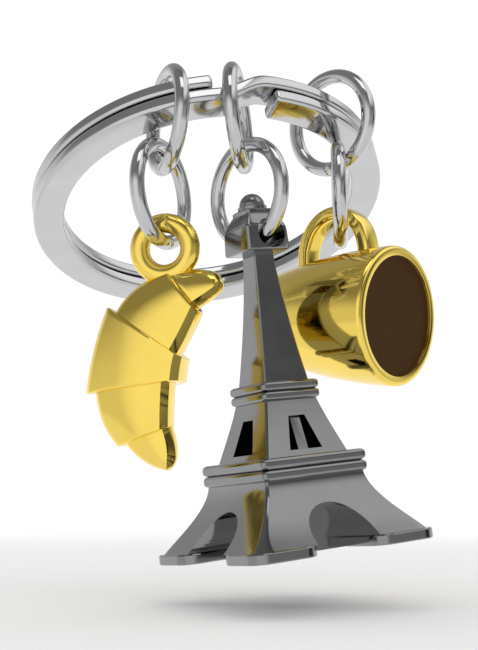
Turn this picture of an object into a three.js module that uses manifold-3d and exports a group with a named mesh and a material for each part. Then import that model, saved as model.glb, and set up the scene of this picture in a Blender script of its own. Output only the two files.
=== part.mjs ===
// Keychain: a split ring with three charms (croissant, tower, coffee cup), each on two jump rings.
// Millimetres. +Z is up, +X is to the viewer's right and +Y points away from the viewer.
// The origin is the centre of the split ring, which is where the keychain is held.
import * as THREE from 'three';
import { mergeVertices } from 'three/addons/utils/BufferGeometryUtils.js';
import Module from 'manifold-3d';

const wasm = await Module();
wasm.setup();

// ---------- driving dimensions ----------

const { degToRad } = THREE.MathUtils;

// Split ring: flat wire wound twice, its two turns lying one on the other.
const splitRing = {
  outerRadius: 16, // to the outside of the wire
  wireWidth: 2.8, // across the flat wire
  wireThickness: 1.24, // one turn
  turnPitch: 1.42, // from the middle of one turn to the middle of the next
  wireBevel: 0.28, // on all four edges of the wire
  lowerEndAngle: 22, // where the lower turn starts
  upperEndAngle: 3, // where the upper turn ends
  jogStartAngle: 5, // where the wire starts to climb from the lower to the upper turn
  jogEndAngle: 20,
  frontLift: -23.9, // the whole ring is tilted: near side up
  sideLift: -9, // and right side up
};
const splitRingMeanRadius = splitRing.outerRadius - splitRing.wireWidth / 2;

// Jump rings: six equal closed rings of round wire.
const jumpRing = { meanRadius: 4.05, wireRadius: 0.64 };

// Angle round the split ring where each charm hangs, 0 at its near side, and how the jump rings lie.
// yaw turns a ring's plane away from the X axis, lean tips its top to the right.
const leftChain = {
  angle: -12.1,
  upper: { drop: 1.33, yaw: -70, lean: 3 },
  lower: { centre: [-3.45, -13.25, -2.15], yaw: -115, lean: -4 },
};
const centreChain = {
  angle: 11.4,
  upper: { drop: 1.95, yaw: -98.3, lean: -5.6 },
  lower: { centre: [3.69, -13.19, -2.13], yaw: -50, lean: -1 },
};
const rightChain = {
  angle: 49.1,
  upper: { drop: 0.3, yaw: -44, lean: 0 },
  lower: { centre: [11.5, -8.05, -1.22], yaw: -94, lean: -1.5 },
};

// Croissant: a curved roll of five stepped folds. Its own origin is the middle of the eyelet.
// Each fold has four corners, given as across and up, and a bow point its outer and inner edges bend to.
const croissant = {
  eyelet: [-3.13, -13.25, -6.74],
  yaw: -13, // turns its right-hand edge towards the viewer
  eyeletRadius: 2.12, // to the middle of the eyelet's wire
  eyeletWireRadius: 0.82,
  edgeRound: 0.55,
  folds: {
    upperTip: {
      outerTop: [3.4, -1.95],
      outerBow: [5, -2.1],
      outerBottom: [4.4, -3.7],
      innerBottom: [2.6, -4.95],
      innerBow: [0.6, -4.6],
      innerTop: [0.2, -1.85],
      thickness: 2.5,
    },
    upper: {
      outerTop: [0.3, -1.8],
      outerBow: [-2.5, -2.5],
      outerBottom: [-4.3, -5.4],
      innerBottom: [1.2, -8.9],
      innerBow: [2.4, -7],
      innerTop: [3.05, -5.3],
      thickness: 3.7,
    },
    middle: {
      outerTop: [-4.85, -4.6],
      outerBow: [-6.2, -8],
      outerBottom: [-6.6, -11.8],
      innerBottom: [1.55, -10.9],
      innerBow: [1.65, -10],
      innerTop: [1.85, -9],
      thickness: 4.4,
    },
    lower: {
      outerTop: [-5.8, -11],
      outerBow: [-5.7, -14.2],
      outerBottom: [-3.75, -16.1],
      innerBottom: [0.65, -14.6],
      innerBow: [0.6, -12.8],
      innerTop: [0.8, -10.5],
      thickness: 3.7,
    },
    lowerTip: {
      outerTop: [-3.5, -15.1],
      outerBow: [-2.6, -17.1],
      outerBottom: [-0.5, -18.05],
      innerBottom: [0.75, -17.8],
      innerBow: [1.35, -16.6],
      innerTop: [0.35, -13.9],
      thickness: 2.6,
    },
  },
};

// Tower: a hollow four-sided casting. Its own origin is the middle of its base, +Z along its axis.
const tower = {
  base: [7.24, -13.3, -31.1],
  yaw: -59.4,
  lean: -6.7,
  footHalfWidth: 8.35,
  footSide: 5.8,
  footThickness: 0.8,
  footCornerRadius: 0.9,
  archRadius: 2.85,
  archCentreHeight: 0.9,
  core: { bottom: 0.1, halfWidth: 4.2 }, // closes the arches off behind
  hollow: { top: 6.6, halfWidth: 3.3 }, // inside the core, open below
  legs: { bottom: 0.8, top: 5.75, bottomHalfWidth: 8, topHalfWidth: 4.6, flare: 1.6 },
  lowerPlatform: { bottom: 5.75, top: 7.5, halfWidth: 4.88 },
  windows: { bottom: 7.5, top: 11.95, bottomHalfWidth: 3.8, topHalfWidth: 2.42, flare: 1.1 },
  upperPlatform: { bottom: 11.95, top: 13.45, halfWidth: 2.7 },
  shaft: { bottom: 13.45, top: 24.1, bottomHalfWidth: 2.08, topHalfWidth: 0.95, flare: 1.4 },
  head: {
    bottom: 24.1,
    eaves: 26.2,
    top: 27.15,
    bottomHalfWidth: 2,
    eavesHalfWidth: 1.87,
    topHalfWidth: 1.4,
  },
  lantern: { top: 27.65, halfWidth: 1.3 },
  dome: { collarTop: 28.05, collarRadius: 1.2, radius: 1.05 },
  windowRecess: { bottom: 7.95, top: 10.65, bottomHalfWidth: 1.5, topHalfWidth: 0.75, depth: 1.3 },
  strutThickness: 0.9,
  strutRoot: 0.45, // the struts' feet stand this far inside the storey's sides
  hangHoleHeight: 25.5,
  hangHoleRadius: 1.24,
  hangHoleSkew: 9.4, // the hole runs a little askew, in line with its jump ring
};

// Cup: lies on its side with its mouth towards the viewer's right. Its own origin is the middle of
// the mouth, +Z out of the mouth and +X towards the handle.
const cup = {
  mouth: [16.05, -12.05, -12.1],
  mouthTurn: 50.6, // from straight at the viewer towards the right
  mouthDip: 3, // the mouth faces a little down
  length: 12.5,
  lipRadius: 5.8,
  lipRound: 0.42,
  sideRadius: 5.68, // of the wall just behind the lip
  sideTaper: 2.05, // how much narrower the wall is at the base
  sideCurve: 1.8,
  baseChamfer: 0.3,
  enamelRadius: 4.97,
  enamelDepth: 1.1,
  enamelGap: 0.12,
  handle: {
    middle: 6.35, // behind the mouth
    length: 7.3,
    wallRadius: 5.1, // of the cup's wall at the handle
    outerReach: 9.44, // from the cup's axis to the outside of the band
    shoulder: 0.6, // where the curve begins, above the wall
    root: 1, // the band's ends run this deep into the wall
    band: 1.15,
    width: 2,
    bevel: 0.2,
  },
};

// Bodies of one casting run this far into each other.
const weld = 0.05;

// ---------- materials ----------

function metal(color, roughness) {
  return new THREE.MeshStandardMaterial({ color, roughness, metalness: 1 });
}
const chrome = () => metal(0xc8c9cb, 0.14);
const gunmetal = () => metal(0x6f7175, 0.2);
const gold = () => metal(0xecc75a, 0.18);
const brownEnamel = () => new THREE.MeshStandardMaterial({ color: 0x3a2216, roughness: 0.25 });

// ---------- solid operations ----------

function toSolid(geometry) {
  const bare = geometry.index ? geometry.clone() : geometry;
  bare.deleteAttribute('normal');
  bare.deleteAttribute('uv');
  const merged = mergeVertices(bare, 1e-4);
  return new wasm.Manifold(new wasm.Mesh({
    numProp: 3,
    vertProperties: new Float32Array(merged.attributes.position.array),
    triVerts: new Uint32Array(merged.index.array),
  }));
}

function toGeometry(solid) {
  const { vertProperties, triVerts } = solid.getMesh();
  const geometry = new THREE.BufferGeometry();
  geometry.setAttribute('position', new THREE.BufferAttribute(new Float32Array(vertProperties), 3));
  geometry.setIndex(new THREE.BufferAttribute(new Uint32Array(triVerts), 1));
  geometry.computeVertexNormals();
  return geometry;
}

function union(solids) {
  return solids.reduce((sum, solid) => sum.add(solid));
}

function addMesh(parent, name, geometry, material) {
  const mesh = new THREE.Mesh(geometry, material);
  mesh.name = name;
  parent.add(mesh);
  return mesh;
}

// ---------- split ring and jump rings ----------

// Height of the wire's middle at an angle round the ring, counted on from the lower turn's start.
function turnHeight(angle) {
  const { turnPitch, jogStartAngle, jogEndAngle } = splitRing;
  const climbed = THREE.MathUtils.smoothstep(angle, 360 + jogStartAngle, 360 + jogEndAngle);
  return turnPitch * (climbed - 0.5);
}

function wireSection() {
  const { wireWidth, wireThickness, wireBevel } = splitRing;
  const x = wireWidth / 2;
  const y = wireThickness / 2;
  const corners = [[x - wireBevel, -y], [x, wireBevel - y], [x, y - wireBevel], [x - wireBevel, y]];
  const mirrored = corners.map(([cx, cy]) => [-cx, cy]).reverse();
  return new THREE.Shape([...corners, ...mirrored].map(([cx, cy]) => new THREE.Vector2(cx, cy)));
}

// A straight flat bar is extruded, then wound into the two turns.
function splitRingGeometry() {
  const { lowerEndAngle, upperEndAngle } = splitRing;
  const sweep = 720 + upperEndAngle - lowerEndAngle;
  const steps = 132;
  const bar = new THREE.ExtrudeGeometry(wireSection(), { depth: 1, steps, bevelEnabled: false });
  const position = bar.attributes.position;
  for (let i = 0; i < position.count; i += 1) {
    const angle = lowerEndAngle + sweep * position.getZ(i);
    const radius = splitRingMeanRadius - position.getX(i);
    const height = position.getY(i) + turnHeight(angle);
    position.setXYZ(i, radius * Math.sin(degToRad(angle)), -radius * Math.cos(degToRad(angle)), height);
  }
  return toGeometry(toSolid(bar));
}

function makeSplitRing() {
  const holder = new THREE.Group();
  holder.rotation.set(degToRad(splitRing.frontLift), degToRad(splitRing.sideLift), 0);
  addMesh(holder, 'split_ring', splitRingGeometry(), chrome());
  return holder;
}

function addJumpRing(parent, name, centre, { yaw, lean }) {
  const { meanRadius, wireRadius } = jumpRing;
  const geometry = new THREE.TorusGeometry(meanRadius, wireRadius, 10, 36).rotateX(Math.PI / 2);
  const mesh = addMesh(parent, name, geometry, chrome());
  mesh.position.copy(centre);
  mesh.rotation.set(0, degToRad(lean), degToRad(yaw), 'YZX');
}

// Middle of the split ring's wire at an angle round it.
function pointOnSplitRing(angle) {
  const onRing = new THREE.Vector3(Math.sin(degToRad(angle)), -Math.cos(degToRad(angle)), 0);
  const tilt = new THREE.Euler(degToRad(splitRing.frontLift), degToRad(splitRing.sideLift), 0);
  return onRing.multiplyScalar(splitRingMeanRadius).applyEuler(tilt);
}

function makeJumpRings() {
  const rings = new THREE.Group();
  for (const [side, chain] of Object.entries({ left: leftChain, centre: centreChain, right: rightChain })) {
    const upperCentre = pointOnSplitRing(chain.angle);
    upperCentre.z -= chain.upper.drop;
    addJumpRing(rings, `${side}_upper_jump_ring`, upperCentre, chain.upper);
    addJumpRing(rings, `${side}_lower_jump_ring`, new THREE.Vector3(...chain.lower.centre), chain.lower);
  }
  return rings;
}

// ---------- croissant ----------

// One fold of the roll, a slab with rounded edges.
function fold({ outerTop, outerBow, outerBottom, innerBottom, innerBow, innerTop, thickness }) {
  const { edgeRound } = croissant;
  const outline = new THREE.Shape();
  outline.moveTo(...outerTop);
  outline.quadraticCurveTo(...outerBow, ...outerBottom);
  outline.lineTo(...innerBottom);
  outline.quadraticCurveTo(...innerBow, ...innerTop);
  const depth = thickness - 2 * edgeRound;
  const slab = new THREE.ExtrudeGeometry(outline, {
    depth,
    bevelThickness: edgeRound,
    bevelSize: edgeRound,
    bevelOffset: -edgeRound,
    bevelSegments: 3,
    curveSegments: 5,
  });
  return toSolid(slab.translate(0, 0, -depth / 2).rotateX(Math.PI / 2));
}

function makeCroissant() {
  const { eyelet, yaw, eyeletRadius, eyeletWireRadius } = croissant;
  const loop = new THREE.TorusGeometry(eyeletRadius, eyeletWireRadius, 12, 32).rotateX(Math.PI / 2);
  const casting = union([toSolid(loop), ...Object.values(croissant.folds).map(fold)]);
  const mesh = addMesh(new THREE.Group(), 'croissant_charm', toGeometry(casting), gold());
  mesh.position.set(...eyelet);
  mesh.rotation.z = degToRad(yaw);
  return mesh.parent;
}

// ---------- tower ----------

// A four-sided body about the Z axis from half widths and heights, closed on the axis.
function squareBody(profile) {
  const points = profile.map(([halfWidth, height]) => new THREE.Vector2(halfWidth * Math.SQRT2, height));
  const closed = [new THREE.Vector2(0, points[0].y), ...points, new THREE.Vector2(0, points.at(-1).y)];
  return toSolid(new THREE.LatheGeometry(closed, 4, Math.PI / 4).rotateX(Math.PI / 2));
}

function roundBody(profile, segments) {
  const points = profile.map(([radius, height]) => new THREE.Vector2(radius, height));
  return toSolid(new THREE.LatheGeometry(points, segments).rotateX(Math.PI / 2));
}

// Half widths and heights up a section whose sides curve outwards towards its foot.
function flaredSides({ bottom, top, bottomHalfWidth, topHalfWidth, flare }, steps) {
  return Array.from({ length: steps + 1 }, (_, i) => {
    const down = 1 - i / steps;
    const halfWidth = topHalfWidth + (bottomHalfWidth - topHalfWidth) * down ** flare;
    return [halfWidth, top + (bottom - top) * down];
  });
}

// Two rounded bands, one above the other, round a platform.
function bandedEdge({ bottom, top, halfWidth }) {
  const bandHeight = (top - bottom) / 2;
  const groove = 0.22;
  const band = (foot) => [
    [halfWidth - groove, foot],
    [halfWidth, foot + groove],
    [halfWidth, foot + bandHeight - groove],
    [halfWidth - groove, foot + bandHeight],
  ];
  return [...band(bottom), ...band(bottom + bandHeight).slice(1)];
}

function towerOutside() {
  const { legs, lowerPlatform, windows, upperPlatform, shaft, head, lantern } = tower;
  return squareBody([
    ...flaredSides(legs, 6),
    ...bandedEdge(lowerPlatform),
    ...flaredSides(windows, 3),
    ...bandedEdge(upperPlatform),
    ...flaredSides(shaft, 5),
    [head.bottomHalfWidth, head.bottom],
    [head.eavesHalfWidth, head.eaves],
    [head.topHalfWidth, head.top],
    [lantern.halfWidth, head.top],
    [lantern.halfWidth, lantern.top],
  ]);
}

// A square block about the tower's axis.
function squareBlock({ halfWidth }, bottom, top) {
  return squareBody([[halfWidth, bottom], [halfWidth, top]]);
}

// A prism with the given outline, running right through the tower along its X axis.
function crossPrism(outline) {
  const length = 3 * tower.footHalfWidth;
  const prism = new THREE.ExtrudeGeometry(outline, { depth: length, bevelEnabled: false, curveSegments: 10 });
  prism.translate(0, 0, -length / 2).rotateX(Math.PI / 2).rotateZ(Math.PI / 2);
  return toSolid(prism);
}

const belowFeet = -1; // where cuts that are open at the tower's base start

// Blind arches in all four sides, cut in as far as the core.
function towerArches() {
  const { archRadius, archCentreHeight, core, lowerPlatform } = tower;
  const outline = new THREE.Shape();
  outline.moveTo(-archRadius, belowFeet);
  outline.lineTo(archRadius, belowFeet);
  outline.absarc(0, archCentreHeight, archRadius, 0, Math.PI);
  const alongX = crossPrism(outline);
  return alongX.add(alongX.rotate([0, 0, 90])).subtract(squareBlock(core, core.bottom, lowerPlatform.top));
}

// A shape narrowing upwards from one half width to another.
function taperedOutline(bottomHalfWidth, bottom, topHalfWidth, top) {
  const right = [new THREE.Vector2(bottomHalfWidth, bottom), new THREE.Vector2(topHalfWidth, top)];
  const left = right.map(({ x, y }) => new THREE.Vector2(-x, y)).reverse();
  return new THREE.Shape([...right, ...left]);
}

// Blind windows in all four sides, cut in as far as a solid core.
function towerWindows() {
  const { windows, windowRecess: { bottom, top, bottomHalfWidth, topHalfWidth, depth } } = tower;
  const alongX = crossPrism(taperedOutline(bottomHalfWidth, bottom, topHalfWidth, top));
  const core = squareBody([
    [windows.bottomHalfWidth - depth, windows.bottom],
    [windows.topHalfWidth - depth, windows.top],
  ]);
  return alongX.add(alongX.rotate([0, 0, 90])).subtract(core);
}

// An upright strut stands in the middle of two of the windows.
function towerStruts() {
  const { windows, windowRecess, strutThickness, strutRoot } = tower;
  const foot = windows.bottomHalfWidth - strutRoot;
  const outline = taperedOutline(foot, windows.bottom, windows.topHalfWidth, windowRecess.top + weld);
  const struts = new THREE.ExtrudeGeometry(outline, { depth: strutThickness, bevelEnabled: false });
  return toSolid(struts.translate(0, 0, -strutThickness / 2).rotateX(Math.PI / 2));
}

function towerFeet() {
  const { footHalfWidth, footSide, footThickness, footCornerRadius } = tower;
  const near = footHalfWidth - footSide;
  const nearCentre = near + footCornerRadius;
  const farCentre = footHalfWidth - footCornerRadius;
  const outline = new THREE.Shape();
  outline.moveTo(near, near);
  outline.lineTo(farCentre, near);
  outline.absarc(farCentre, nearCentre, footCornerRadius, -Math.PI / 2, 0);
  outline.absarc(farCentre, farCentre, footCornerRadius, 0, Math.PI / 2);
  outline.absarc(nearCentre, farCentre, footCornerRadius, Math.PI / 2, Math.PI);
  const depth = footThickness + weld;
  const plate = new THREE.ExtrudeGeometry(outline, { depth, bevelEnabled: false, curveSegments: 3 });
  return [0, 1, 2, 3].map((quarter) => toSolid(plate.clone().rotateZ(quarter * Math.PI / 2)));
}

function towerDome() {
  const { lantern, dome } = tower;
  const steps = 5;
  const cap = Array.from({ length: steps + 1 }, (_, i) => {
    const rise = (i / steps) * Math.PI / 2;
    return [dome.radius * Math.cos(rise), dome.collarTop + dome.radius * Math.sin(rise)];
  });
  cap[steps][0] = 0;
  const foot = lantern.top - weld;
  return roundBody([[0, foot], [dome.collarRadius, foot], [dome.collarRadius, dome.collarTop], ...cap], 20);
}

function towerHangHole() {
  const { hangHoleHeight, hangHoleRadius, hangHoleSkew, head } = tower;
  const bore = new THREE.CylinderGeometry(hangHoleRadius, hangHoleRadius, 3 * head.bottomHalfWidth, 20);
  return toSolid(bore.rotateZ(Math.PI / 2 + degToRad(hangHoleSkew)).translate(0, 0, hangHoleHeight));
}

function makeTower() {
  const { base, yaw, lean, core, hollow, lowerPlatform } = tower;
  const outside = union([
    towerOutside().subtract(towerArches()),
    squareBlock(core, core.bottom, lowerPlatform.bottom + weld),
    towerDome(),
    ...towerFeet(),
  ]);
  const openings = union([towerWindows(), squareBlock(hollow, belowFeet, hollow.top), towerHangHole()]);
  const casting = outside.subtract(openings).add(towerStruts());
  const mesh = addMesh(new THREE.Group(), 'tower_charm', toGeometry(casting), gunmetal());
  mesh.position.set(...base);
  mesh.rotation.set(0, degToRad(lean), degToRad(yaw), 'YZX');
  return mesh.parent;
}

// ---------- cup ----------

function cupWall() {
  const { length, lipRadius, lipRound, sideRadius, sideTaper, sideCurve, baseChamfer } = cup;
  const { enamelRadius, enamelDepth } = cup;
  const sideSteps = 6;
  const side = Array.from({ length: sideSteps }, (_, i) => {
    const behind = (length - baseChamfer) * (1 - i / sideSteps);
    return [sideRadius - sideTaper * (behind / length) ** sideCurve, -behind];
  });
  const lipSteps = 5;
  const lip = Array.from({ length: lipSteps + 1 }, (_, i) => {
    const turn = degToRad(-50 + 140 * (i / lipSteps));
    return [lipRadius - lipRound + lipRound * Math.cos(turn), lipRound * (Math.sin(turn) - 1)];
  });
  const recess = [[enamelRadius, 0], [enamelRadius, -enamelDepth], [0, -enamelDepth]];
  return roundBody([[0, -length], [side[0][0] - baseChamfer, -length], ...side, ...lip, ...recess], 40);
}

// The outline of a D-shaped loop with its flat side inwards, drawn in by inset from the outer face.
function handleOutline(inset, foot) {
  const { length, wallRadius, outerReach, shoulder } = cup.handle;
  const half = length / 2 - inset;
  const start = wallRadius + shoulder;
  // A cubic's middle lies three quarters of the way from its ends to its bow points.
  const bow = start + (outerReach - inset - start) / 0.75;
  const outline = new THREE.Shape();
  outline.moveTo(foot, -half);
  outline.lineTo(start, -half);
  outline.bezierCurveTo(bow, shoulder - half, bow, half - shoulder, start, half);
  outline.lineTo(foot, half);
  return outline;
}

function cupHandle() {
  const { middle, wallRadius, root, band, width, bevel } = cup.handle;
  const outline = handleOutline(bevel, wallRadius - root);
  outline.holes.push(handleOutline(band - bevel, wallRadius));
  const depth = width - 2 * bevel;
  const geometry = new THREE.ExtrudeGeometry(outline, {
    depth,
    bevelThickness: bevel,
    bevelSize: bevel,
    bevelSegments: 1,
    curveSegments: 14,
  });
  return toSolid(geometry.translate(0, 0, -depth / 2).rotateX(Math.PI / 2).translate(0, 0, -middle));
}

function makeCup() {
  const { mouth, mouthTurn, mouthDip, enamelRadius, enamelDepth, enamelGap } = cup;
  const holder = new THREE.Group();
  const facing = new THREE.Euler(degToRad(mouthDip), 0, degToRad(mouthTurn), 'ZXY');
  const out = new THREE.Vector3(0, -1, 0).applyEuler(facing);
  const up = new THREE.Vector3(0, 0, 1).projectOnPlane(out).normalize();
  holder.matrix.makeBasis(up, out.clone().cross(up), out);
  holder.matrix.setPosition(...mouth);
  holder.matrix.decompose(holder.position, holder.quaternion, holder.scale);
  addMesh(holder, 'cup_charm', toGeometry(cupWall().add(cupHandle())), gold());
  const thickness = enamelDepth - 2 * enamelGap;
  const radius = enamelRadius - enamelGap;
  const disc = new THREE.CylinderGeometry(radius, radius, thickness, 40).rotateX(Math.PI / 2);
  addMesh(holder, 'cup_enamel', disc.translate(0, 0, -enamelGap - thickness / 2), brownEnamel());
  return holder;
}

const group = new THREE.Group();
group.add(makeSplitRing(), makeJumpRings(), makeCroissant(), makeTower(), makeCup());

export default group;
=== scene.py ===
import math

import bpy
from mathutils import Matrix, Vector


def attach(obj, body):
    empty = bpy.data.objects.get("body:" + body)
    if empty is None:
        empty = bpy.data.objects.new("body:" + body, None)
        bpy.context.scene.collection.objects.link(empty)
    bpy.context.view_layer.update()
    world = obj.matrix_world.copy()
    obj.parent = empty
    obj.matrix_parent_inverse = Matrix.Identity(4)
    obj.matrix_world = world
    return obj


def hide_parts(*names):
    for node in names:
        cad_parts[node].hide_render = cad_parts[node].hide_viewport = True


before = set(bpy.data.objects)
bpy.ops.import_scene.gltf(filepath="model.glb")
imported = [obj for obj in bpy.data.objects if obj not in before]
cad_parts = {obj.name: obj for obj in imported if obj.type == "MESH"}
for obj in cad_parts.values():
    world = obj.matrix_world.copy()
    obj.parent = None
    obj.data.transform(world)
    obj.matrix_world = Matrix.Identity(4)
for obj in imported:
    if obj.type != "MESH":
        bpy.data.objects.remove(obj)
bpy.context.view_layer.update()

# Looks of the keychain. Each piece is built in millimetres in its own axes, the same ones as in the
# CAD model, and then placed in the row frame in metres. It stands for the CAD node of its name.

MM = 0.001

# ---------- driving dimensions, in millimetres and degrees ----------

SPLIT_RING = dict(
    mean_radius=14.6, width=2.74, thickness=1.2, pitch=1.42, edge_round=0.34,
    lower_end=22, upper_end=3, end_round=0.3, jog=(5, 20), front_lift=-23.9, side_lift=-9,
)
JUMP_RING = dict(
    mean_radius=4.05, wire_radius=0.61, joint_angle=268, joint_groove=0.035, joint_half_width=0.7,
)
# Angle round the split ring and drop below it, or else the centre; then yaw and lean.
CHAINS = {
    "left_upper": dict(angle=-12.1, drop=1.33, yaw=-70, lean=3),
    "left_lower": dict(centre=(-3.45, -13.25, -2.15), yaw=-115, lean=-4),
    "centre_upper": dict(angle=11.4, drop=1.95, yaw=-98.3, lean=-5.6),
    "centre_lower": dict(centre=(3.69, -13.19, -2.13), yaw=-50, lean=-1),
    "right_upper": dict(angle=49.1, drop=0.3, yaw=-44, lean=0),
    "right_lower": dict(centre=(11.5, -8.05, -1.22), yaw=-94, lean=-1.5),
}
CROISSANT = dict(eyelet=(-3.13, -13.25, -6.74), yaw=-13, eyelet_radius=2.12, wire_radius=0.82)
# The two edges of each fold as cubic curves, given as across and up from the middle of the eyelet.
FOLDS = {
    "upper_tip": dict(
        outer=((0.2, -1.85), (2.6, -1.8), (4.8, -1.5), (4.8, -2.95)),
        inner=((2.75, -5.05), (3.6, -4.5), (4.75, -4), (4.8, -2.95)),
        thickness=2.6, closes=True),
    "upper": dict(
        outer=((0.3, -1.8), (-1.6, -2.4), (-3.4, -3.6), (-4.35, -5.5)),
        inner=((3.05, -5.3), (2.5, -6.5), (1.9, -7.7), (1.2, -8.9)),
        thickness=3.7, closes=False),
    "middle": dict(
        outer=((-4.85, -4.6), (-5.75, -6.9), (-6.35, -9.2), (-6.6, -11.8)),
        inner=((1.85, -9), (1.72, -9.6), (1.62, -10.2), (1.55, -10.9)),
        thickness=4.5, closes=False),
    "lower": dict(
        outer=((-5.8, -11), (-5.75, -13.1), (-5, -14.9), (-3.75, -16.1)),
        inner=((0.8, -10.5), (0.68, -12), (0.62, -13.3), (0.65, -14.6)),
        thickness=3.7, closes=False),
    "lower_tip": dict(
        outer=((-3.6, -15.2), (-2.6, -16.7), (-1.4, -17.7), (0.35, -18)),
        inner=((0.35, -13.7), (0.95, -14.9), (1.75, -17.4), (0.35, -18)),
        thickness=2.8, closes=True),
}
FOLD_EDGE = 0.2
# A fold's inner edge is cut back at a slant: its width, how much deeper it is, and its soft corners
# as shares of both. The crown over the rest of the fold is a superellipse.
FOLD_CHAMFER = dict(
    width=0.5, of_half=0.4, of_width=0.25, slant=2.1, corners=((0, 1), (0.1, 0.82), (0.86, 0.12)),
)
FOLD_CROWN_POWER = 2.1
TOWER = dict(
    base=(7.24, -13.3, -31.1), yaw=-59.4, lean=-6.7,
    foot_half_width=8.35, foot_side=5.8, foot_thickness=0.8, foot_corner=1.6,
    legs=dict(bottom=0.8, top=5.75, wide=8, narrow=4.6, flare=1.6, corner=0.3, foot_corner=1.1),
    windows=dict(bottom=7.5, top=11.95, wide=3.8, narrow=2.42, flare=1.1, corner=0.22),
    shaft=dict(bottom=13.45, top=24.1, wide=2.08, narrow=0.95, flare=1.4, corner=0.16),
    lower_platform=dict(bottom=5.75, top=7.5, half_width=4.88, corner=0.45),
    upper_platform=dict(bottom=11.95, top=13.45, half_width=2.7, corner=0.4),
    head=dict(
        bottom=24.1, eaves=26.2, top=27.15, half_width=2, eaves_half_width=1.87, top_half_width=1.4,
        corner=0.3, edge=0.2),
    lantern=dict(top=27.65, half_width=1.3, edge=0.1),
    dome=dict(collar_top=28.05, collar_radius=1.2, radius=1.05),
    arch=dict(radius=2.85, centre_height=0.9),
    core=dict(bottom=0.1, half_width=4.2), hollow=dict(top=6.6, half_width=3.3),
    window=dict(bottom=7.95, top=10.65, wide=1.5, narrow=0.75, depth=1.3),
    strut=0.9, strut_root=0.45, hole_height=25.5, hole_radius=1.24, hole_skew=9.4,
    foot_edge=0.12, band_round=0.38, edge=0.15,
)
CUP = dict(
    mouth=(16.05, -12.05, -12.1), mouth_turn=50.6, mouth_dip=3, length=12.5,
    lip_radius=5.8, lip_round=0.42, side_radius=5.8, side_taper=2.05, side_curve=1.8, base_round=0.4,
    enamel_radius=4.97, enamel_depth=1.1, enamel_level=0.35,
)
# The enamel creeps up at its edge, given as distances in from the edge and heights over its level,
# and sinks a little towards the middle, given as radii and heights.
ENAMEL_EDGE = ((0, 0.05), (0.05, 0.03), (0.2, 0.005), (0.5, -0.01))
ENAMEL_MIDDLE = ((3, -0.03), (1.5, -0.04), (0.4, -0.045))
HANDLE = dict(
    middle=6.35, length=7.3, wall_radius=5.1, reach=9.44, shoulder=0.6, root=1, band=1.15, width=2,
    corner=0.34,
)
CAMERA = dict(place=(2.9046, -119.2699, -24.4179), tilt=96.1585, sensor=36, lens=72.886)
FLOOR = dict(height=-35.4, reach=3000, fade_from=60, fade_to=140)
LAMP = dict(place=(0, -10, 250), size=1600, energy=5.2)
SOFTBOX = dict(centre=(20, -110, 260), aim=(5, -12, -15), width=160, height=120, strength=1.6)

# How white the background is to the camera, and how strongly it lights matt surfaces.
BACKGROUND_WHITE = 1.05
AMBIENT = 0.2

# Sides of round wires, of the tower's round parts and of the cup.
WIRE_SIDES = 32
TOWER_SIDES = 48
CUP_SIDES = 144
# A height that is clear of the tower's feet, from which its openings are cut.
BELOW_FEET = -1
# The middle of a rounded corner lies this share of its radius in from the sharp corner.
CORNER_CUT = 0.3
# Angles between faces, in degrees: rounded above the first, shaded smooth below the second.
ROUNDED_ABOVE = 32
SMOOTH_BELOW = 38


# ---------- shapes ----------

def loft(rows, wrap=False):
    """Vertices and faces of a skin over closed rows of equal length. Open ends are capped."""
    count = len(rows[0])
    vertices = [point for row in rows for point in row]
    faces = []
    for i in range(len(rows) if wrap else len(rows) - 1):
        here, there = i * count, (i + 1) % len(rows) * count
        for j in range(count):
            k = (j + 1) % count
            faces.append((here + j, here + k, there + k, there + j))
    if not wrap:
        faces.append(tuple(range(count)))
        faces.append(tuple(range((len(rows) - 1) * count, len(rows) * count)))
    return vertices, faces


def turned_skin(profile, sides):
    """A lathed skin about the Z axis, from radii and heights."""
    return loft([[(x, y, height) for x, y in circle(radius, sides)] for radius, height in profile])


def circle(radius, steps):
    turns = [math.tau * i / steps for i in range(steps)]
    return [(radius * math.cos(turn), radius * math.sin(turn)) for turn in turns]


def quarter_turn(steps):
    """Pairs of cosine and sine over a quarter of a turn."""
    turns = [i / steps * math.pi / 2 for i in range(steps + 1)]
    return [(math.cos(turn), math.sin(turn)) for turn in turns]


def rounded_rectangle(width, height, radius, steps):
    points = []
    for quarter, (right, up) in enumerate(((1, 1), (-1, 1), (-1, -1), (1, -1))):
        x = right * (width / 2 - radius)
        y = up * (height / 2 - radius)
        for i in range(steps + 1):
            turn = (quarter + i / steps) * math.pi / 2
            points.append((x + radius * math.cos(turn), y + radius * math.sin(turn)))
    return points


def cubic(curve, t):
    """The point at t on a curve in the plane, given by its ends and its two control points."""
    weights = ((1 - t) ** 3, 3 * t * (1 - t) ** 2, 3 * t * t * (1 - t), t ** 3)
    return Vector([sum(w * p[i] for w, p in zip(weights, curve)) for i in (0, 1)])


def smoothstep(value, low, high):
    t = min(max((value - low) / (high - low), 0), 1)
    return t * t * (3 - 2 * t)


def join(*skins):
    """One skin made of several that lie apart or pass through one another."""
    vertices, faces = [], []
    for skin_vertices, skin_faces in skins:
        start = len(vertices)
        vertices += skin_vertices
        faces += [tuple(start + i for i in face) for face in skin_faces]
    return vertices, faces


def mesh_from(name, skin):
    """An object with the given skin, all of whose faces look outwards."""
    mesh = bpy.data.meshes.new(name)
    mesh.from_pydata([tuple(v) for v in skin[0]], [], skin[1])
    shape = bpy.data.objects.new(name, mesh)
    bpy.context.scene.collection.objects.link(shape)
    bpy.context.view_layer.objects.active = shape
    bpy.ops.object.mode_set(mode="EDIT")
    bpy.ops.mesh.select_all(action="SELECT")
    bpy.ops.mesh.normals_make_consistent(inside=False)
    bpy.ops.object.mode_set(mode="OBJECT")
    return shape


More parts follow.
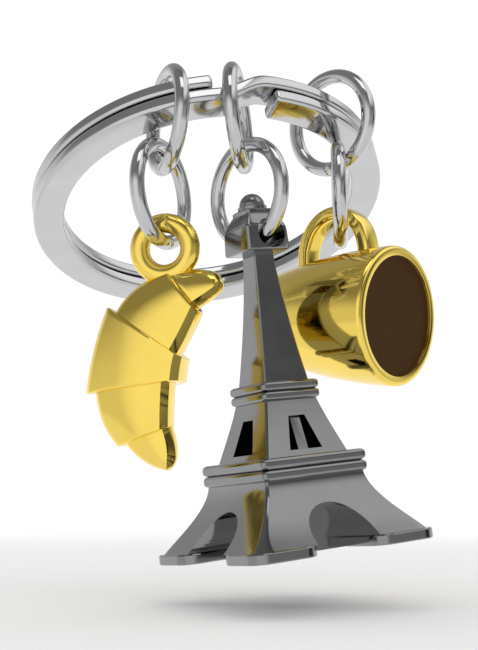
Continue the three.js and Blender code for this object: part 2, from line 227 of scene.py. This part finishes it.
def casting_from(name, skin, in_painted_shade=False):
    """A shape for the tower, either plated all over or made rough and near-black as painted shade, as in the
    deep openings.
    """
    shape = mesh_from(name, skin)
    mesh = shape.data
    mesh.materials.append(gunmetal)
    mesh.materials.append(painted_shade_casting)
    mesh.polygons.foreach_set("material_index", [int(in_painted_shade)] * len(mesh.polygons))
    return shape


def apply_modifiers(shape):
    """Bakes the modifiers into the shape's own mesh."""
    depsgraph = bpy.context.evaluated_depsgraph_get()
    shape.data = bpy.data.meshes.new_from_object(shape.evaluated_get(depsgraph))
    shape.modifiers.clear()


def combine(shape, operation, *tools):
    """Cuts the tools out of the shape, or joins them to it, and removes them."""
    for tool in tools:
        boolean = shape.modifiers.new(operation, "BOOLEAN")
        boolean.operation = operation
        boolean.solver = "EXACT"
        boolean.object = tool
        apply_modifiers(shape)
        bpy.data.objects.remove(tool)
    return shape


def round_edges(shape, width, segments):
    bevel = shape.modifiers.new("rounded_edges", "BEVEL")
    bevel.width = width
    bevel.segments = segments
    bevel.limit_method = "ANGLE"
    bevel.angle_limit = math.radians(ROUNDED_ABOVE)
    apply_modifiers(shape)


def flatten_shading(shape):
    """Lets the large faces decide the shading, so that flat walls stay flat beside rounded edges."""
    shape.data.shade_smooth()
    shape.data.set_sharp_from_angle(angle=math.radians(SMOOTH_BELOW))
    weighted = shape.modifiers.new("flat_walls", "WEIGHTED_NORMAL")
    weighted.mode = "FACE_AREA"
    weighted.weight = 80
    weighted.keep_sharp = True
    apply_modifiers(shape)


def add_piece(shape, place, material, body, node):
    """Moves a shape to the row frame and lets it stand for its CAD node.

    A shape that carries its materials already is given none here.
    """
    mesh = shape.data
    mesh.transform(Matrix.Scale(MM, 4) @ place)
    mesh.shade_smooth()
    mesh.set_sharp_from_angle(angle=math.radians(SMOOTH_BELOW))
    if material:
        mesh.materials.append(material)
    shape.name = f"{node}_look"
    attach(shape, body)
    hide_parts(node)


def turned(degrees, axis):
    return Matrix.Rotation(math.radians(degrees), 4, axis)


# ---------- materials ----------

def node_of(tree, kind, **values):
    node = tree.nodes.new(kind)
    for name, value in values.items():
        node.inputs[name].default_value = value
    return node


def polished(name, color, roughness, grain_scale, wave=0.25, metallic=1.0):
    """A polished surface: faint clouding in colour and gloss, and the slight waviness of real polish."""
    material = bpy.data.materials.new(name)
    material.use_nodes = True
    tree = material.node_tree
    shader = tree.nodes["Principled BSDF"]
    shader.inputs["Metallic"].default_value = metallic
    place = tree.nodes.new("ShaderNodeTexCoord")

    def noise(scale, detail, softness):
        node = node_of(tree, "ShaderNodeTexNoise", Scale=scale, Detail=detail, Roughness=softness)
        tree.links.new(place.outputs["Object"], node.inputs["Vector"])
        return node.outputs["Fac"]

    cloud = noise(grain_scale, 3, 0.55)
    tint = tree.nodes.new("ShaderNodeValToRGB")
    dark, light = tint.color_ramp.elements
    dark.position, light.position = 0.3, 0.7
    dark.color = (*(0.93 * part for part in color), 1)
    light.color = (*color, 1)
    tree.links.new(cloud, tint.inputs["Fac"])
    tree.links.new(tint.outputs["Color"], shader.inputs["Base Color"])

    smudge = noise(2.3 * grain_scale, 5, 0.6)
    gloss = node_of(tree, "ShaderNodeMapRange", **{
        "From Min": 0.3, "From Max": 0.75, "To Min": 0.75 * roughness, "To Max": 1.35 * roughness})
    tree.links.new(smudge, gloss.inputs["Value"])
    tree.links.new(gloss.outputs["Result"], shader.inputs["Roughness"])

    ripple = noise(1.3 * grain_scale, 2, 0.4)
    bump = node_of(tree, "ShaderNodeBump", Strength=wave, Distance=0.04 * MM)
    tree.links.new(ripple, bump.inputs["Height"])
    tree.links.new(bump.outputs["Normal"], shader.inputs["Normal"])
    return material


chrome = polished("chrome_plate", (0.61, 0.612, 0.62), 0.1, 300)
gunmetal = polished("gunmetal_plate", (0.27, 0.272, 0.276), 0.11, 260)
# Painted shade: a rough near-black material for the window recesses and the hollow under the tower, where
# shade falls. It is not the metal's own colour.
painted_shade_casting = polished("painted_shade_inside", (0.03, 0.03, 0.032), 0.45, 900, wave=0.6)
gold = polished("gold_plate", (0.99, 0.735, 0.15), 0.09, 280)
enamel = polished("brown_enamel", (0.062, 0.0285, 0.0085), 0.25, 700, wave=0.12, metallic=0.0)
enamel.node_tree.nodes["Principled BSDF"].inputs["Specular IOR Level"].default_value = 0.03


# ---------- split ring and jump rings ----------

SPLIT_RING_TILT = turned(SPLIT_RING["front_lift"], "X") @ turned(SPLIT_RING["side_lift"], "Y")


def split_ring_row(angle, inset):
    """The wire's section at an angle round the ring, drawn in by inset near the wire's cut ends."""
    ring = SPLIT_RING
    climbed = smoothstep(angle, 360 + ring["jog"][0], 360 + ring["jog"][1])
    # The corners shrink more slowly than the section, so that they stay round.
    corner = ring["edge_round"] - 0.6 * inset
    section = rounded_rectangle(ring["width"] - 2 * inset, ring["thickness"] - 2 * inset, corner, 6)
    row = []
    for across, up in section:
        radius = ring["mean_radius"] + across
        turn = math.radians(angle)
        height = up + ring["pitch"] * (climbed - 0.5)
        row.append((radius * math.sin(turn), -radius * math.cos(turn), height))
    return row


def make_split_ring():
    ring = SPLIT_RING
    first, last = ring["lower_end"], 720 + ring["upper_end"]
    end = []
    for cosine, sine in quarter_turn(5):
        along = ring["end_round"] * (1 - cosine)
        inset = ring["end_round"] * (1 - sine)
        end.append((math.degrees(along / ring["mean_radius"]), inset))
    steps = 420
    stations = [(first + turn, inset) for turn, inset in end]
    stations += [(first + (last - first) * i / steps, 0) for i in range(1, steps)]
    stations += [(last - turn, inset) for turn, inset in reversed(end)]
    shape = mesh_from("split_ring", loft([split_ring_row(*station) for station in stations]))
    add_piece(shape, SPLIT_RING_TILT, chrome, "split_ring", "split_ring")


def jump_ring_shape(name):
    """A ring of round wire whose two cut ends meet in a fine groove."""
    ring = JUMP_RING
    steps = 140
    rows = []
    for i in range(steps):
        degrees = ring["joint_angle"] + 360 * i / steps
        wire_radius = ring["wire_radius"] - (ring["joint_groove"] if i == 0 else 0)
        if i in (1, steps - 1):
            side_of_joint = 1 if i == 1 else -1
            degrees = ring["joint_angle"] + side_of_joint * ring["joint_half_width"]
        turn = math.radians(degrees)
        row = []
        for out, side in circle(wire_radius, WIRE_SIDES):
            radius = ring["mean_radius"] + out
            row.append((radius * math.cos(turn), side, radius * math.sin(turn)))
        rows.append(row)
    return mesh_from(name, loft(rows, wrap=True))


def make_jump_rings():
    for name, chain in CHAINS.items():
        if "angle" in chain:
            turn = math.radians(chain["angle"])
            outwards = SPLIT_RING_TILT @ Vector((math.sin(turn), -math.cos(turn), 0))
            centre = outwards * SPLIT_RING["mean_radius"] - Vector((0, 0, chain["drop"]))
        else:
            centre = Vector(chain["centre"])
        place = Matrix.Translation(centre) @ turned(chain["lean"], "Y") @ turned(chain["yaw"], "Z")
        node = f"{name}_jump_ring"
        add_piece(jump_ring_shape(node), place, chrome, f"{name}_ring", node)


# ---------- croissant ----------

def fold_row(fold, t, inset):
    """A section of a fold: a chamfered inner edge, a crowned front and back, a rounded outer edge."""
    outer = cubic(fold["outer"], t)
    inner = cubic(fold["inner"], t)
    half = fold["thickness"] / 2
    if fold["closes"]:
        half *= math.sqrt(max(1 - t ** 4, 0.0001))
    width = (outer - inner).length
    direction = (outer - inner) / max(width, 0.001)
    half = max(half - inset, 0.02)
    width = max(width - 2 * inset, 0.02)
    cut = FOLD_CHAMFER
    chamfer = min(cut["width"], cut["of_half"] * half, cut["of_width"] * width)
    depth = cut["slant"] * chamfer
    front = [(across * chamfer, half - down * depth) for across, down in cut["corners"]]
    for _, share in quarter_turn(18)[:-1]:
        crown = half * (1 - share ** FOLD_CROWN_POWER) ** 0.5
        front.append((chamfer + (width - chamfer) * share, crown))
    outline = front + [(width, 0)] + [(across, -up) for across, up in reversed(front)]
    row = []
    for across, towards in outline:
        point = inner + direction * (across + inset)
        row.append((point.x, -towards, point.y))
    return row


def fold_skin(fold):
    """A fold swept along its two edges, with rounded ends, or tapered to a point if it closes."""
    steps = 22
    length = (cubic(fold["outer"], 0) - cubic(fold["outer"], 1)).length
    edge = FOLD_EDGE
    cut = CORNER_CUT * edge
    stations = [(0, edge), (cut / length, cut), (edge / length, 0)]
    last = 1 if fold["closes"] else 1 - edge / length
    for i in range(1, steps + 1):
        share = i / steps
        if fold["closes"]:
            share = math.sin(share * math.pi / 2)
        stations.append((edge / length + (last - edge / length) * min(share, 0.9995), 0))
    if not fold["closes"]:
        stations += [(1 - cut / length, cut), (1, edge)]
    return loft([fold_row(fold, *station) for station in stations])


def torus_skin(mean_radius, wire_radius):
    steps = 96
    rows = []
    for i in range(steps):
        turn = math.tau * i / steps
        rows.append([
            ((mean_radius + out) * math.cos(turn), side, (mean_radius + out) * math.sin(turn))
            for out, side in circle(wire_radius, WIRE_SIDES)])
    return loft(rows, wrap=True)


def make_croissant():
    eyelet = torus_skin(CROISSANT["eyelet_radius"], CROISSANT["wire_radius"])
    shape = mesh_from("croissant", join(eyelet, *(fold_skin(fold) for fold in FOLDS.values())))
    place = Matrix.Translation(CROISSANT["eyelet"]) @ turned(CROISSANT["yaw"], "Z")
    add_piece(shape, place, gold, "croissant", "croissant_charm")


# ---------- tower ----------

def square_row(half_width, height, corner):
    """A square section of the tower at a height, with rounded corners."""
    return [(x, y, height) for x, y in rounded_rectangle(2 * half_width, 2 * half_width, corner, 4)]


def flared_side(storey, steps):
    """Half widths and heights up a storey whose sides curve outwards towards its foot."""
    side = []
    for i in range(steps + 1):
        down = 1 - i / steps
        half_width = storey["narrow"] + (storey["wide"] - storey["narrow"]) * down ** storey["flare"]
        side.append((half_width, storey["top"] + (storey["bottom"] - storey["top"]) * down))
    return side


def banded_edge(platform):
    """Half widths and heights up two bands with rounded edges, one above the other."""
    edge = platform["half_width"]
    band = (platform["top"] - platform["bottom"]) / 2
    radius = TOWER["band_round"] * band
    points = []
    for foot in (platform["bottom"], platform["bottom"] + band):
        for cosine, sine in quarter_turn(5):
            points.append((edge - radius * (1 - sine), foot + radius * (1 - cosine)))
        for cosine, sine in quarter_turn(5):
            points.append((edge - radius * (1 - cosine), foot + band - radius * (1 - sine)))
    return points


def head_side():
    """Half widths and heights up the block that holds the hole, and up the lantern on it."""
    head, lantern = TOWER["head"], TOWER["lantern"]
    soft, crease = head["edge"], lantern["edge"]
    cut = CORNER_CUT * soft
    return [
        (head["half_width"] - soft, head["bottom"]),
        (head["half_width"] - cut, head["bottom"] + cut),
        (head["half_width"], head["bottom"] + soft),
        (head["eaves_half_width"] + cut, head["eaves"] - soft),
        (head["eaves_half_width"] - cut, head["eaves"] + 0.7 * soft),
        (head["top_half_width"], head["top"]),
        (lantern["half_width"] + 0.5 * crease, head["top"] + 0.3 * crease),
        (lantern["half_width"], head["top"] + crease),
        (lantern["half_width"], lantern["top"] - crease),
        (lantern["half_width"] - crease, lantern["top"])]


def tower_outside():
    tower = TOWER
    legs = tower["legs"]
    steps = 20
    rows = []
    for i, (half_width, height) in enumerate(flared_side(legs, steps)):
        # The legs' corners are rounder at the foot.
        corner = legs["corner"] + legs["foot_corner"] * (1 - i / steps) ** 5
        rows.append(square_row(half_width, height, corner))
    for storey, side in (
            (tower["lower_platform"], banded_edge(tower["lower_platform"])),
            (tower["windows"], flared_side(tower["windows"], 8)),
            (tower["upper_platform"], banded_edge(tower["upper_platform"])),
            (tower["shaft"], flared_side(tower["shaft"], 16)),
            (tower["head"], head_side())):
        rows += [square_row(half_width, height, storey["corner"]) for half_width, height in side]
    return casting_from("tower", loft(rows))


def square_block(name, half_width, bottom, top, in_painted_shade=False):
    rows = [square_row(half_width, height, 0.15) for height in (bottom, top)]
    return casting_from(name, loft(rows), in_painted_shade)


def through_prism(name, outline, turn, in_painted_shade=False):
    """A prism that runs right through the tower, along X and then turned about the upright axis."""
    reach = 1.5 * TOWER["foot_half_width"]
    rows = [[(x, across, up) for across, up in outline] for x in (-reach, reach)]
    skin = loft(rows)
    spin = turned(turn, "Z")
    return casting_from(name, ([spin @ Vector(v) for v in skin[0]], skin[1]), in_painted_shade)


def arch_outline():
    arch = TOWER["arch"]
    radius, centre = arch["radius"], arch["centre_height"]
    steps = 32
    outline = [(radius, BELOW_FEET)]
    for i in range(steps + 1):
        turn = math.pi * i / steps
        outline.append((radius * math.cos(turn), centre + radius * math.sin(turn)))
    return outline + [(-radius, BELOW_FEET)]


def window_outline():
    window = TOWER["window"]
    return [
        (window["wide"], window["bottom"]), (window["narrow"], window["top"]),
        (-window["narrow"], window["top"]), (-window["wide"], window["bottom"])]


def recesses(outline, core, in_painted_shade=False):
    """Openings in all four sides, cut in as far as a core."""
    both = combine(through_prism("along_x", outline, 0, in_painted_shade), "UNION",
                   through_prism("along_y", outline, 90, in_painted_shade))
    return combine(both, "DIFFERENCE", core)


def arches():
    core = TOWER["core"]
    block = square_block("arch_core", core["half_width"], core["bottom"], TOWER["lower_platform"]["top"])
    return recesses(arch_outline(), block)


def windows():
    storey, depth = TOWER["windows"], TOWER["window"]["depth"]
    # The backs of the window recesses are near-black painted shade.
    core = casting_from("window_core", loft([
        square_row(storey["wide"] - depth, storey["bottom"], 0.2),
        square_row(storey["narrow"] - depth, storey["top"], 0.2)]), in_painted_shade=True)
    return recesses(window_outline(), core, in_painted_shade=True)


def tower_struts():
    """An upright strut stands in the middle of two of the windows."""
    storey = TOWER["windows"]
    foot = storey["wide"] - TOWER["strut_root"]
    top = TOWER["window"]["top"] + 0.05
    rows = []
    for y in (-TOWER["strut"] / 2, TOWER["strut"] / 2):
        rows.append([(foot, y, storey["bottom"]), (storey["narrow"], y, top),
                     (-storey["narrow"], y, top), (-foot, y, storey["bottom"])])
    return casting_from("struts", loft(rows))


def tower_foot(right, up):
    """The pad under one leg. The signs of right and up pick the leg."""
    tower = TOWER
    side, top, soft = tower["foot_side"], tower["foot_thickness"], tower["foot_edge"]
    cut = CORNER_CUT * soft
    sunk = 0.03
    middle = tower["foot_half_width"] - side / 2
    rows = []
    for inset, height in ((soft, 0), (cut, cut), (0, soft),
                          (0, top - soft), (cut, top - cut), (soft, top + sunk)):
        outline = rounded_rectangle(side - 2 * inset, side - 2 * inset, tower["foot_corner"] - inset, 14)
        rows.append([(right * middle + x, up * middle + y, height) for x, y in outline])
    return casting_from("foot", loft(rows))


def tower_dome():
    lantern, dome = TOWER["lantern"], TOWER["dome"]
    collar, edge = dome["collar_radius"], lantern["edge"]
    profile = [(collar, lantern["top"] - edge), (collar, dome["collar_top"] - edge),
               (collar - edge, dome["collar_top"])]
    tip_radius = 0.03
    for cosine, sine in quarter_turn(12):
        radius = max(dome["radius"] * cosine, tip_radius)
        profile.append((radius, dome["collar_top"] + dome["radius"] * sine))
    return casting_from("dome", turned_skin(profile, TOWER_SIDES))


def hang_hole():
    """The hole through the head, a little askew, in line with the ring that passes through it."""
    tower = TOWER
    section = circle(tower["hole_radius"], TOWER_SIDES)
    outline = [(across, up + tower["hole_height"]) for across, up in section]
    return through_prism("hang_hole", outline, tower["hole_skew"])


def make_tower():
    tower = TOWER
    core, hollow = tower["core"], tower["hollow"]
    shape = tower_outside()
    combine(shape, "DIFFERENCE", arches(), windows())
    feet = [tower_foot(right, up) for right in (-1, 1) for up in (-1, 1)]
    block = square_block("core", core["half_width"], core["bottom"], tower["lower_platform"]["bottom"] + 0.3)
    combine(shape, "UNION", block, tower_struts(), tower_dome(), *feet)
    # The hollow under the tower is near-black painted shade.
    inside = square_block("hollow", hollow["half_width"], BELOW_FEET, hollow["top"], in_painted_shade=True)
    combine(shape, "DIFFERENCE", inside, hang_hole())
    round_edges(shape, tower["edge"], segments=3)
    flatten_shading(shape)
    place = Matrix.Translation(tower["base"]) @ turned(tower["lean"], "Y") @ turned(tower["yaw"], "Z")
    add_piece(shape, place, None, "tower", "tower_charm")


# ---------- cup ----------

def cup_wall():
    cup = CUP
    base, lip = cup["base_round"], cup["lip_round"]
    foot = cup["side_radius"] - cup["side_taper"]
    profile = []
    for cosine, sine in quarter_turn(5):
        profile.append((foot - base + base * sine, -cup["length"] + base - base * cosine))
    steps = 24
    for i in range(1, steps + 1):
        behind = (cup["length"] - base) * (1 - i / steps) + lip * i / steps
        taper = cup["side_taper"] * (behind / cup["length"]) ** cup["side_curve"]
        profile.append((cup["side_radius"] - taper, -behind))
    for cosine, sine in quarter_turn(12)[1:]:
        profile.append((cup["lip_radius"] + lip * (cosine - 1), lip * (sine - 1)))
    inside = cup["enamel_radius"]
    profile += [(inside + 0.08, 0), (inside + 0.02, -0.02), (inside, -0.08), (inside, -cup["enamel_depth"])]
    return turned_skin(profile, CUP_SIDES)


def handle_skin():
    """The handle's band, swept along a D whose flat side lies in the cup's wall."""
    handle = HANDLE
    inset = handle["band"] / 2
    half = handle["length"] / 2 - inset
    shoulder = handle["shoulder"]
    start = handle["wall_radius"] + shoulder
    # A cubic's middle lies three quarters of the way from its ends to its control points.
    bow = start + (handle["reach"] - inset - start) / 0.75
    curve = ((start, -half), (bow, shoulder - half), (bow, half - shoulder), (start, half))
    foot = handle["wall_radius"] - handle["root"]
    steps = 40
    line = [Vector((foot, -half))]
    line += [cubic(curve, i / steps) for i in range(steps + 1)]
    line += [Vector((foot, half))]
    section = rounded_rectangle(handle["band"], handle["width"], handle["corner"], 6)
    rows = []
    for i, point in enumerate(line):
        ahead = line[min(i + 1, len(line) - 1)] - line[max(i - 1, 0)]
        side = Vector((ahead.y, -ahead.x)).normalized()
        row = []
        for out, across in section:
            place = point + side * out
            row.append((place.x, across, place.y - handle["middle"]))
        rows.append(row)
    return loft(rows)


def enamel_skin():
    cup = CUP
    radius = cup["enamel_radius"] - 0.01
    level = -cup["enamel_level"]
    profile = [(radius, -cup["enamel_depth"] + 0.02)]
    profile += [(radius - inwards, level + rise) for inwards, rise in ENAMEL_EDGE]
    profile += [(middle_radius, level + rise) for middle_radius, rise in ENAMEL_MIDDLE]
    return turned_skin(profile, CUP_SIDES)


def make_cup():
    cup = CUP
    facing = turned(cup["mouth_turn"], "Z") @ turned(cup["mouth_dip"], "X")
    out = (facing @ Vector((0, -1, 0))).normalized()
    up = (Vector((0, 0, 1)) - out * out.z).normalized()
    side = out.cross(up)
    place = Matrix.Translation(cup["mouth"]) @ Matrix((up, side, out)).transposed().to_4x4()
    wall = mesh_from("cup", join(cup_wall(), handle_skin()))
    add_piece(wall, place, gold, "cup", "cup_charm")
    disc = mesh_from("enamel", enamel_skin())
    add_piece(disc, place, enamel, "cup", "cup_enamel")


# ---------- studio ----------

def emissive(name, strength):
    material = bpy.data.materials.new(name)
    material.use_nodes = True
    tree = material.node_tree
    tree.nodes.remove(tree.nodes["Principled BSDF"])
    glow = node_of(tree, "ShaderNodeEmission", Strength=strength)
    tree.links.new(glow.outputs["Emission"], tree.nodes["Material Output"].inputs["Surface"])
    return material


def add_softbox():
    """A glowing card over the camera, seen only in the polished metal."""
    box = SOFTBOX
    x, y = box["width"] / 2 * MM, box["height"] / 2 * MM
    mesh = bpy.data.meshes.new("softbox")
    mesh.from_pydata([(-x, -y, 0), (x, -y, 0), (x, y, 0), (-x, y, 0)], [], [(0, 1, 2, 3)])
    mesh.materials.append(emissive("softbox", box["strength"]))
    card = bpy.data.objects.new("softbox", mesh)
    bpy.context.scene.collection.objects.link(card)
    card.location = Vector(box["centre"]) * MM
    towards = Vector(box["aim"]) * MM - card.location
    card.rotation_euler = towards.to_track_quat("Z", "Y").to_euler()
    card.visible_camera = False
    card.visible_diffuse = False
    card.visible_shadow = False


def floor_paper():
    """White paper that fades, away from the keychain, into the glow of the background, with no edge."""
    material = bpy.data.materials.new("white_paper")
    material.use_nodes = True
    tree = material.node_tree
    paper = tree.nodes["Principled BSDF"]
    paper.inputs["Base Color"].default_value = (0.93, 0.93, 0.93, 1)
    paper.inputs["Roughness"].default_value = 0.85
    paper.inputs["Specular IOR Level"].default_value = 0.03
    place = tree.nodes.new("ShaderNodeTexCoord")
    distance = tree.nodes.new("ShaderNodeVectorMath")
    distance.operation = "LENGTH"
    fade = node_of(tree, "ShaderNodeMapRange", **{
        "From Min": FLOOR["fade_from"] * MM, "From Max": FLOOR["fade_to"] * MM})
    fade.interpolation_type = "SMOOTHSTEP"
    glow = node_of(tree, "ShaderNodeEmission", Strength=BACKGROUND_WHITE)
    mix = tree.nodes.new("ShaderNodeMixShader")
    tree.links.new(place.outputs["Object"], distance.inputs[0])
    tree.links.new(distance.outputs["Value"], fade.inputs["Value"])
    tree.links.new(fade.outputs["Result"], mix.inputs["Fac"])
    tree.links.new(paper.outputs["BSDF"], mix.inputs[1])
    tree.links.new(glow.outputs["Emission"], mix.inputs[2])
    tree.links.new(mix.outputs["Shader"], tree.nodes["Material Output"].inputs["Surface"])
    return material


def add_floor():
    reach, height = FLOOR["reach"] * MM, FLOOR["height"] * MM
    corners = [(-reach, -reach), (reach, -reach), (reach, reach), (-reach, reach)]
    mesh = bpy.data.meshes.new("floor")
    mesh.from_pydata([(x, y, height) for x, y in corners], [], [(0, 1, 2, 3)])
    mesh.materials.append(floor_paper())
    floor = bpy.data.objects.new("floor", mesh)
    bpy.context.scene.collection.objects.link(floor)
    floor.visible_glossy = False


def add_lamp():
    """A wide lamp overhead that lights the floor and casts the soft shadow under the keychain."""
    light = bpy.data.lights.new("overhead", "AREA")
    light.shape = "DISK"
    light.size = LAMP["size"] * MM
    light.energy = LAMP["energy"]
    lamp = bpy.data.objects.new("overhead", light)
    bpy.context.scene.collection.objects.link(lamp)
    lamp.location = Vector(LAMP["place"]) * MM
    lamp.visible_glossy = False


def add_world():
    """White to the camera, dim as light on matt surfaces, and a room of greys in reflections."""
    world = bpy.data.worlds.new("studio")
    world.use_nodes = True
    bpy.context.scene.world = world
    tree = world.node_tree
    tree.nodes.clear()
    path = tree.nodes.new("ShaderNodeLightPath")
    place = tree.nodes.new("ShaderNodeTexCoord")
    split = tree.nodes.new("ShaderNodeSeparateXYZ")
    tree.links.new(place.outputs["Generated"], split.inputs["Vector"])

    def ramp(axis, low, high, at_low, at_high):
        """A smooth change of brightness over the part of the room between two directions."""
        node = node_of(tree, "ShaderNodeMapRange", **{
            "From Min": low, "From Max": high, "To Min": at_low, "To Max": at_high})
        node.interpolation_type = "SMOOTHSTEP"
        tree.links.new(split.outputs[axis], node.inputs["Value"])
        return node.outputs["Result"]

    def combined(operation, first, second):
        node = tree.nodes.new("ShaderNodeMath")
        node.operation = operation
        tree.links.new(first, node.inputs[0])
        tree.links.new(second, node.inputs[1])
        return node.outputs["Value"]

    # Lighter grey on the left than on the right, nearly black at the far right, and white behind,
    # all of it dimmer higher up.
    sides = combined("MINIMUM", ramp("X", -0.3, 0.35, 0.72, 0.42), ramp("X", 0.92, 0.975, 1, 0.05))
    sides = combined("MULTIPLY", sides, ramp("Z", 0.08, 0.5, 1, 0.34))
    behind = combined("MULTIPLY", ramp("Y", 0.1, 0.45, 0, 1), ramp("Z", 0, 0.7, 1, 0.33))
    # A glow in front, strongest on the left, another high on the right, and light from the floor.
    front = combined("MULTIPLY", ramp("Y", -0.78, -0.1, 1, 0), ramp("X", -0.1, 0.5, 1, 0.3))
    front = combined("MULTIPLY", front, ramp("Z", 0.25, 0.6, 1, 0.25))
    upper_right = combined("MULTIPLY", ramp("X", 0.2, 0.5, 0, 1.1), ramp("Z", 0.3, 0.68, 0, 1))
    below = ramp("Z", 0.1, -0.22, 0, 0.88)
    brightness = sides
    for glow in (behind, front, upper_right, below):
        brightness = combined("MAXIMUM", brightness, glow)

    def background(strength):
        return node_of(tree, "ShaderNodeBackground", Color=(1, 1, 1, 1), Strength=strength)

    def either(switch, otherwise, chosen):
        mix = tree.nodes.new("ShaderNodeMixShader")
        tree.links.new(path.outputs[switch], mix.inputs["Fac"])
        tree.links.new(otherwise.outputs[0], mix.inputs[1])
        tree.links.new(chosen.outputs[0], mix.inputs[2])
        return mix

    reflected = background(1)
    tree.links.new(brightness, reflected.inputs["Color"])
    surface = either("Is Diffuse Ray", reflected, background(AMBIENT))
    surface = either("Is Camera Ray", surface, background(BACKGROUND_WHITE))
    out = tree.nodes.new("ShaderNodeOutputWorld")
    tree.links.new(surface.outputs[0], out.inputs["Surface"])


def add_camera():
    data = bpy.data.cameras.new("camera")
    data.sensor_width = CAMERA["sensor"]
    data.sensor_fit = "VERTICAL"
    data.sensor_height = CAMERA["sensor"]
    data.lens = CAMERA["lens"]
    data.clip_start = 0.01
    camera = bpy.data.objects.new("camera", data)
    bpy.context.scene.collection.objects.link(camera)
    camera.location = Vector(CAMERA["place"]) * MM
    camera.rotation_euler = (math.radians(CAMERA["tilt"]), 0, 0)
    bpy.context.scene.camera = camera


add_camera()
make_split_ring()
make_jump_rings()
make_croissant()
make_tower()
make_cup()
add_floor()
add_lamp()
add_world()
add_softbox()
bpy.context.scene.view_settings.view_transform = "Standard"
